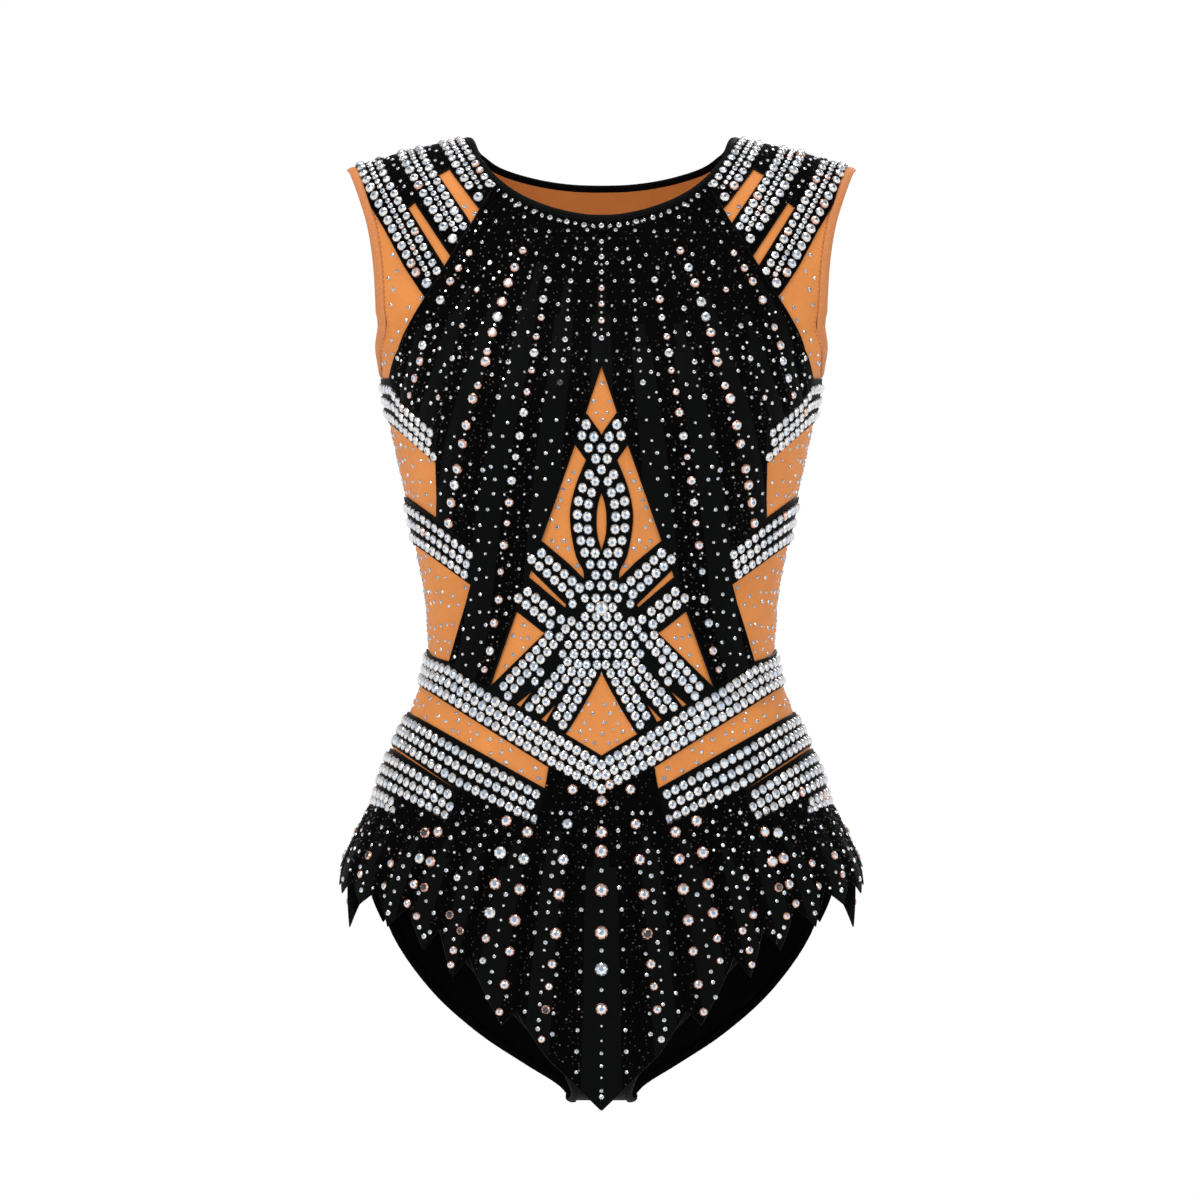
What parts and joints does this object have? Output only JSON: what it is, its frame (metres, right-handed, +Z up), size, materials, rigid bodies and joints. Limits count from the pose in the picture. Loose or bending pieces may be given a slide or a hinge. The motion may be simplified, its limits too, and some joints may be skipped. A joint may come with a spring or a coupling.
{
  "type": "competition leotard",
  "caption": "Sleeveless stretch competition leotard in its worn form: gathered front, tan net sides, crystal bands and belts, and a short skirt with a pointed zigzag hem.",
  "frame": {"origin": "on the shoulder line where the wearer's shoulders carry the garment, midway between the shoulders", "axes": "+Z up, the front faces -Y, +X is the wearer's left"},
  "size_m": [0.3614, 0.2484, 0.6587],
  "materials": {
    "nude_mesh": "fine matt stretch net",
    "black_satin": "soft sheen stretch knit",
    "black_velvet": "gathered stretch velvet",
    "crystal_band": "black cloth covered with faceted glass stones"
  },
  "bodies": {
    "root": {"mesh_front": "nude_mesh", "mesh_back": "nude_mesh", "arm_binding_front_left": "nude_mesh", "arm_binding_front_right": "nude_mesh", "arm_binding_back_left": "nude_mesh", "arm_binding_back_right": "nude_mesh", "neck_binding_front": "black_satin", "neck_binding_back": "black_satin", "leg_binding_left": "black_satin", "leg_binding_right": "black_satin", "brief_front": "black_satin", "brief_back": "black_satin", "bodice": "black_velvet", "yoke_left": "black_velvet", "yoke_right": "black_velvet", "yoke_back_left": "black_velvet", "yoke_back_right": "black_velvet", "skirt_front": "black_velvet", "skirt_back": "black_velvet", "chest_band_left": "crystal_band", "chest_band_right": "crystal_band", "rib_band_left": "crystal_band", "rib_band_right": "crystal_band", "motif": "crystal_band", "waist_belt_front": "crystal_band", "waist_belt_back": "crystal_band", "hip_belt_left": "crystal_band", "hip_belt_right": "crystal_band", "hip_belt_back": "crystal_band", "hip_band_left": "crystal_band", "hip_band_right": "crystal_band", "hip_band_back": "crystal_band", "hip_tab_left": "crystal_band", "hip_tab_right": "crystal_band"}
  },
  "joints": []
}
